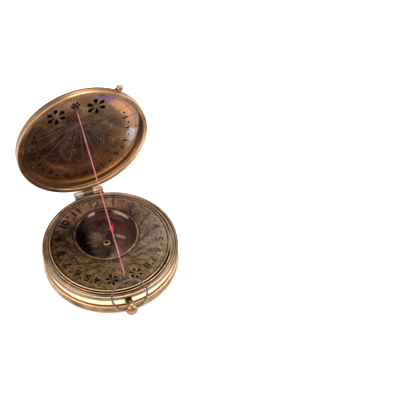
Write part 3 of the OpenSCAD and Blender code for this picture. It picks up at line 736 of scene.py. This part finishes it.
def engravedRing(x, y, z, radius, width):
    around, section = engraving["ringSides"]
    bpy.ops.mesh.primitive_torus_add(location=(x * mm, y * mm, z), major_radius=radius * mm,
                                     minor_radius=width / 2 * mm, major_segments=around,
                                     minor_segments=section)
    made = bpy.context.object
    made.scale = (1, 1, 2 * engraving["depth"] / width)
    bpy.ops.object.transform_apply(location=True, rotation=True, scale=True)
    return made


def engravedWords(words, size, spot, z, turn, wide, facingDown=False):
    bpy.ops.object.text_add(location=(0, 0, 0))
    made = bpy.context.object
    made.data.body = words
    made.data.size = size * mm
    made.data.extrude = engraving["depth"] * mm
    made.data.offset = engraving["swell"] * mm
    made.data.resolution_u = engraving["textSteps"]
    made.data.align_x = "CENTER"
    made.data.align_y = "CENTER"
    bpy.ops.object.convert(target="MESH")
    made = bpy.context.object
    made.scale = (wide, 1, 1)
    made.rotation_euler = (math.pi if facingDown else 0, 0, turn)
    made.location = (spot.x * mm, spot.y * mm, z)
    bpy.ops.object.transform_apply(location=True, rotation=True, scale=True)
    return made


# unit vector at an angle in degrees, clockwise from +Y
def pointing(degrees):
    return Vector((math.sin(math.radians(degrees)), math.cos(math.radians(degrees))))


# six dots round a hole for the thread
def holeDots(hole, z):
    return [engravedDot(Vector(hole["middle"]) + pointing(30 + 60 * index) * hole["radius"], z, hole["size"])
            for index in range(6)]


# distance from a fan's point on the middle line to the circle of that radius about the middle
def reach(way, radius, fanY):
    slope = way.y * fanY
    return -slope + math.sqrt(slope * slope - fanY * fanY + radius * radius)


# sundial: hour lines, half-hour dots and numerals fan out about one point in front of the compass
dial = {
    "fan": (-0.15, -13.4), "hourStep": 15, "hours": (4, 5, 6, 7, 8, 9, 10, 11, 12, 1, 2, 3, 4, 5, 6, 7, 8),
    "compass": (-0.15, 6.0), "clear": 18.1, "lineFrom": 1.2, "lineTo": 24.2, "shortest": (1.6, 0.8),
    "nearWidth": 0.3, "leftWidth": 0.34, "rightWidth": 0.62, "openFrom": 6, "openWidth": 0.36,
    "numeralSize": 5.9, "numeralWide": 1.1, "numeralAt": 26.3, "numeralShift": 1.1, "dotAt": 28.2,
    "dotSize": 0.62, "rays": 22, "raysFrom": 95, "raysSweep": 170, "rayFrom": 1.0, "rayTo": (6.0, 9.0),
    "rayWidth": 0.2, "rings": ((-0.15, 0, 30.85, 0.5), (-0.15, 6.0, 17.8, 0.4)),
    "hole": {"middle": (-0.15, -25.8), "radius": 1.7, "size": 0.34}, "frontDot": (-0.15, -28.4),
    "frontDotSize": 0.6}


# the lines stop at the glass ring and go on behind it
def hourLines(way, top, width):
    fan = Vector(dial["fan"])
    far = reach(way, dial["lineTo"], fan.y)
    foot = Vector(dial["compass"]) - fan
    along = foot.dot(way)
    aside = (foot - way * along).length
    if along <= 0 or aside >= dial["clear"]:
        return [engravedLine(fan + way * dial["openFrom"], fan + way * far, top, dial["openWidth"])]
    lines = []
    half = math.sqrt(dial["clear"] ** 2 - aside ** 2)
    before, behind = dial["shortest"]
    if along - half > before:
        lines.append(engravedLine(fan + way * dial["lineFrom"], fan + way * (along - half), top,
                                  dial["nearWidth"]))
    if along + half < far - behind:
        lines.append(engravedLine(fan + way * (along + half), fan + way * far, top, width))
    return lines


def engraveDial():
    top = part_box("dial_plate")[1][2]
    fan = Vector(dial["fan"])
    middle = Vector((fan.x, dial["numeralShift"]))
    noon = dial["hours"].index(12)
    cuts, pale, wornAndLit = [], [], []
    last = None
    for index, hour in enumerate(dial["hours"]):
        way = pointing(dial["hourStep"] * (index - noon))
        cuts += hourLines(way, top, dial["rightWidth"] if index > noon else dial["leftWidth"])
        spot = fan + way * reach(way, dial["numeralAt"], fan.y - dial["numeralShift"])
        turn = math.atan2(spot.y, spot.x) - math.pi / 2
        wornAndLit.append(engravedWords(str(hour), dial["numeralSize"], spot, top, turn, dial["numeralWide"]))
        if last is not None:
            halfway = ((spot + last) / 2 - middle).normalized() * dial["dotAt"] + middle
            wornAndLit.append(engravedDot(halfway, top, dial["dotSize"]))
        last = spot
    for index in range(dial["rays"]):
        way = pointing(dial["raysFrom"] + dial["raysSweep"] * index / (dial["rays"] - 1))
        pale.append(engravedLine(fan + way * dial["rayFrom"], fan + way * dial["rayTo"][index % 2], top,
                                 dial["rayWidth"]))
    for x, y, radius, width in dial["rings"]:
        cuts.append(engravedRing(x, y, top, radius, width))
    cuts += holeDots(dial["hole"], top)
    cuts.append(engravedDot(Vector(dial["frontDot"]), top, dial["frontDotSize"]))
    for group, name, finish in ((cuts, "dialEngraving", blackInlay), (wornAndLit, "dialNumerals", dialInlay),
                                (pale, "dialRays", dustInlay)):
        made = joined(group, name)
        coat(made, finish)
        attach(made, "case")


engraveDial()
print("dial engraved")


# compass card: a sixteen-ray rose with raised petals, a ring of degree marks, and pale strokes that are a
# painted reflection of the lid's fan lines in the glass
rose = {
    "middle": (-0.15, 6), "rays": 16, "lengths": (11.5, 7.6), "from": 1.9, "wide": 1.5, "rise": 0.3,
    "sunk": 0.02, "marks": 72, "markEvery": 6, "markAt": 15.5, "markLengths": (1.6, 0.9), "markWidth": 0.16,
    "rings": (15.6, 13.6), "ringWidth": 0.14, "fan": (-1.0, 11.2), "strokeFrom": 3.0, "strokeWidth": 0.3,
    "reflectedStrokes": ((98, 6.0), (112, 8.0), (126, 6.8), (140, 8.6), (156, 7.0), (172, 8.8), (190, 7.2),
                (206, 6.0))}
roseLook = {"colours": [(0.28, (70, 56, 48)), (0.5, (122, 104, 84)), (0.8, (172, 152, 122))],
            "rough": (0.3, 0.5), "middle": compassMiddle}


def dressCard():
    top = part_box("compass_card")[1][2]
    centre = Vector(rose["middle"])
    petals, marks, reflectedStrokes = [], [], []
    for index in range(rose["rays"]):
        size = rose["lengths"][index % 2]
        turn = 360 * index / rose["rays"]
        spot = pointing(turn) * (rose["from"] + size / 2) + centre
        petals.append(copyOf(aPetal, (spot.x * mm, spot.y * mm, top - rose["sunk"] * mm), -math.radians(turn),
                             (rose["wide"] * mm, size / 2 * mm, rose["rise"] * mm)))
    for index in range(rose["marks"]):
        way = pointing(360 * index / rose["marks"])
        deep = rose["markLengths"][min(index % rose["markEvery"], 1)]
        marks.append(engravedLine(way * (rose["markAt"] - deep) + centre, way * rose["markAt"] + centre, top,
                                  rose["markWidth"]))
    for radius in rose["rings"]:
        marks.append(engravedRing(centre.x, centre.y, top, radius, rose["ringWidth"]))
    fan = Vector(rose["fan"])
    # the pale strokes: a painted reflection of the lid's fan lines
    for turn, far in rose["reflectedStrokes"]:
        way = pointing(90 - turn)
        reflectedStrokes.append(engravedLine(way * rose["strokeFrom"] + fan, way * far + fan, top,
                                    rose["strokeWidth"]))
    for group, name, finish in ((petals, "cardRose", agedMetal("roseBrass", roseLook)),
                                (marks, "cardMarks", blackInlay), (reflectedStrokes, "cardFanReflection", fanReflectionPaint)):
        made = joined(group, name)
        coat(made, finish)
        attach(made, "case")


dressCard()
print("compass card dressed")


# lid plate: fan of hour lines, two open arcs, numerals, dots and ticks round its edge, and fine cracks
# in the tarnish
lidFan = {
    "face": 16.9, "fan": (0.2, -13.8), "hourStep": 15, "lineFrom": 1.4, "lineTo": 23.0, "lineWidth": 0.4,
    "numeralSize": 3.6, "numeralWide": 0.86, "numeralAt": 26.2, "dotAt": 26.9, "dotSize": 0.6,
    "ticks": (0.2, 0.8), "tickAt": 25.4, "tickLength": 1.06, "tickWidth": 0.3,
    "arcMiddle": (0.3, 4.9), "arcs": (11.0, 12.2), "arcFrom": -145, "arcStep": 9, "arcPieces": 33,
    "cracks": (61, 76, 94, 114, 136), "crackFrom": 27.6, "crackTo": 33.2, "crackWidth": 0.22,
    "rings": ((0, 0, 30.6, 0.2), (-0.8, -25.2, 0.8, 0.5)),
    "hole": {"middle": (-0.8, -25.2), "radius": 1.9, "size": 0.75}}


def engraveLid():
    face = lidFan["face"] * mm
    fan = Vector(lidFan["fan"])
    axis = Vector((0, fan.y))
    pale, dark = [], []
    for index in range(-6, 7):
        way = pointing(lidFan["hourStep"] * index)
        far = way * reach(way, lidFan["lineTo"], fan.y)
        pale.append(engravedLine(fan + way * lidFan["lineFrom"], fan + far, face, lidFan["lineWidth"]))
        spot = way * reach(way, lidFan["numeralAt"], fan.y) + axis
        turn = math.atan2(spot.y, spot.x) - math.pi / 2
        hour = 12 + index if index <= 0 else index
        # the photograph shows no numeral at the two outermost lines
        if abs(index) < 6:
            dark.append(engravedWords(str(hour), lidFan["numeralSize"], spot, face, turn,
                                      lidFan["numeralWide"], facingDown=True))
        if index < 6:
            way = pointing(lidFan["hourStep"] * (index + 0.5))
            dark.append(engravedDot(way * reach(way, lidFan["dotAt"], fan.y) + axis, face, lidFan["dotSize"]))
            for part in lidFan["ticks"]:
                way = pointing(lidFan["hourStep"] * (index + part))
                near = way * reach(way, lidFan["tickAt"], fan.y) + axis
                dark.append(engravedLine(near, near * lidFan["tickLength"], face, lidFan["tickWidth"]))
    # the arcs are open towards the hinge, in short straight pieces
    middle = Vector(lidFan["arcMiddle"])
    for radius in lidFan["arcs"]:
        turns = [180 - lidFan["arcFrom"] - lidFan["arcStep"] * step
                 for step in range(lidFan["arcPieces"] + 1)]
        spots = [pointing(turn) * radius + middle for turn in turns]
        pale += [engravedLine(a, b, face, lidFan["lineWidth"]) for a, b in zip(spots, spots[1:])]
    for degrees in lidFan["cracks"]:
        way = pointing(180 - degrees)
        dark.append(engravedLine(way * lidFan["crackFrom"], way * lidFan["crackTo"], face,
                                 lidFan["crackWidth"]))
    for x, y, radius, width in lidFan["rings"]:
        dark.append(engravedRing(x, y, face, radius, width))
    dark += holeDots(lidFan["hole"], face)
    for group, name, finish in ((pale, "lidFanLines", greyInlay), (dark, "lidNumerals", blackInlay)):
        made = joined(group, name)
        coat(made, finish)
        swingOpen(made)
        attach(made, "lid")


engraveLid()
for blank in (aLine, aDot, aPetal):
    drop(blank)
print("lid plate engraved")


# gnomon thread: three strands laid together, bent where the dial's hole has set a kink in it.
# Its route is given in the plane of the foot, as y and z
thread = {
    "strands": 3, "strand": 0.17, "lay": 0.16, "pitch": 2.4, "sides": 8, "steps": 14, "ends": 0.2,
    "bendSteps": 6, "bendGap": 0.12, "footX": -0.15, "aside": 0.65,
    "route": ((-25.8, 12.35), (-25.8, 14.65), (-24.9, 19.25), (44.93, 75.47), (47.0, 75.36))}


def turnBeyond(piece, level, angle, axis, place):
    marks = [mark.value > level for mark in piece.data.attributes["along"].data]
    for parts, picked in ((piece.data.polygons, None), (piece.data.edges, None),
                          (piece.data.vertices, marks)):
        parts.foreach_set("select", picked or [False] * len(parts))
    pick(piece)
    bpy.ops.object.mode_set(mode="EDIT")
    bpy.ops.mesh.select_mode(type="VERT")
    bpy.ops.transform.rotate(value=angle, orient_axis=axis, center_override=place)
    bpy.ops.object.mode_set(mode="OBJECT")


def aStrand(length, angle):
    bpy.ops.mesh.primitive_circle_add(vertices=thread["sides"], radius=thread["strand"] * mm)
    strand = bpy.context.object
    strand.rotation_euler = (math.pi / 2, 0, 0)
    strand.location = (thread["lay"] * mm, 0, 0)
    settle(strand, smooth=False)
    twist = strand.modifiers.new("twist", "SCREW")
    twist.angle = 2 * math.pi
    twist.screw_offset = thread["pitch"] * mm
    twist.iterations = math.ceil(length / thread["pitch"])
    twist.steps = thread["steps"]
    twist.render_steps = thread["steps"]
    twist.use_merge_vertices = False
    bpy.ops.object.modifier_apply(modifier="twist")
    strand.rotation_euler = (0, 0, angle)
    return settle(strand)


# cut to length, with the strands' ends closed
def trimThread(made, length):
    pick(made)
    bpy.ops.object.mode_set(mode="EDIT")
    bpy.ops.mesh.select_all(action="SELECT")
    bpy.ops.mesh.bisect(plane_co=(0, 0, thread["ends"] * mm), plane_no=(0, 0, 1), clear_inner=True,
                        use_fill=True)
    bpy.ops.mesh.select_all(action="SELECT")
    bpy.ops.mesh.bisect(plane_co=(0, 0, (length - thread["ends"]) * mm), plane_no=(0, 0, 1), clear_outer=True,
                        use_fill=True)
    bpy.ops.mesh.select_all(action="SELECT")
    bpy.ops.mesh.normals_make_consistent(inside=False)
    bpy.ops.object.mode_set(mode="OBJECT")


def spinThread():
    points = [Vector((thread["footX"], y, z)) for y, z in thread["route"]]
    spans = [(b - a).length for a, b in zip(points, points[1:])]
    length = sum(spans)
    count = thread["strands"]
    made = joined([aStrand(length, 2 * math.pi * index / count) for index in range(count)], "threadStrands")
    trimThread(made, length)
    made.location = points[0] * mm
    settle(made)
    # each bend turns all that lies beyond it, in small steps so that it is round, and from the far end
    # backwards, so that the rest of the thread is still straight up when it is bent
    order = made.data.attributes.new("along", "FLOAT", "POINT")
    order.data.foreach_set("value", [corner.co.z for corner in made.data.vertices])
    slopes = [math.atan2(b.z - a.z, b.y - a.y) for a, b in zip(points, points[1:])]
    steps = thread["bendSteps"]
    for index in reversed(range(len(spans) - 1)):
        level = points[0].z + sum(spans[:index + 1])
        for step in reversed(range(steps)):
            height = level + (step - (steps - 1) / 2) * thread["bendGap"]
            place = Vector((thread["footX"], points[0].y, height)) * mm
            turnBeyond(made, place.z, (slopes[index] - slopes[index + 1]) / steps, "X", place)
    # the lid's hole is a little to the left, so the long stretch swings that way from its bend
    aside = -math.atan2(thread["aside"], points[3].y - points[2].y)
    turnBeyond(made, (points[0].z + spans[0] + spans[1]) * mm, aside, "Z", points[2] * mm)
    made.data.attributes.remove(made.data.attributes["along"])
    coat(made, pinkThread)
    settle(made)
    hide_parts("gnomon_thread")
    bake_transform(made)


spinThread()
print("thread laid")


# floor, lights and surroundings
studio = {
    "floorSize": 6, "floor": ((0.0, (238, 238, 238)), (1.0, (244, 244, 244))), "floorRough": 0.9,
    "floorGlow": 0.3, "aim": (0, 0, 0.03), "sky": 1.0, "skySpan": (-0.2, 1.0),
    "skyLight": ((0.0, 0.75), (0.5, 0.62), (0.8, 0.8), (1.0, 0.95)),
    "lamps": (("softboxLeft", (-0.9, -0.2, 0.9), 0.7, 7.0), ("softboxBack", (0.35, 0.9, 1.0), 0.8, 8.0),
              ("softboxRight", (0.9, -0.1, 0.7), 0.6, 5.0))}


def addFloor():
    clearSelection()
    bpy.ops.mesh.primitive_plane_add(size=studio["floorSize"], location=(0, 0, 0))
    ground = bpy.context.object
    ground.name = "ground"
    finish, tree = startMaterial("paperWhite")
    shade = noise(tree, put(tree, "TexCoord").outputs["Object"], 2.0, 2.0)
    coat(ground, finished(finish, tree, {
        "Base Color": toned(tree, shade, studio["floor"]), "Roughness": studio["floorRough"],
        "Emission Color": tone(255, 255, 255), "Emission Strength": studio["floorGlow"]}))


def addLamps():
    for name, place, size, power in studio["lamps"]:
        bpy.ops.object.light_add(type="AREA", location=place)
        lamp = bpy.context.object
        lamp.name = name
        lamp.data.shape = "DISK"
        lamp.data.size = size
        lamp.data.energy = power
        lamp.rotation_euler = (Vector(studio["aim"]) - Vector(place)).to_track_quat("-Z", "Y").to_euler()


def addSky():
    world = bpy.data.worlds.new("softRoom")
    bpy.context.scene.world = world
    world.use_nodes = True
    tree = world.node_tree
    tree.nodes.clear()
    way = put(tree, "TexCoord").outputs["Generated"]
    height = put(tree, "SeparateXYZ", {0: way}).outputs[2]
    light = ramp(tree, between(tree, height, *studio["skySpan"]),
                 [(place, (grey, grey, grey, 1)) for place, grey in studio["skyLight"]])
    glow = put(tree, "Background", {"Color": light, "Strength": studio["sky"]})
    out = put(tree, "OutputWorld")
    tree.links.new(glow.outputs[0], out.inputs["Surface"])
    bpy.context.scene.view_settings.view_transform = "Standard"


addFloor()
addLamps()
addSky()
print("studio set")
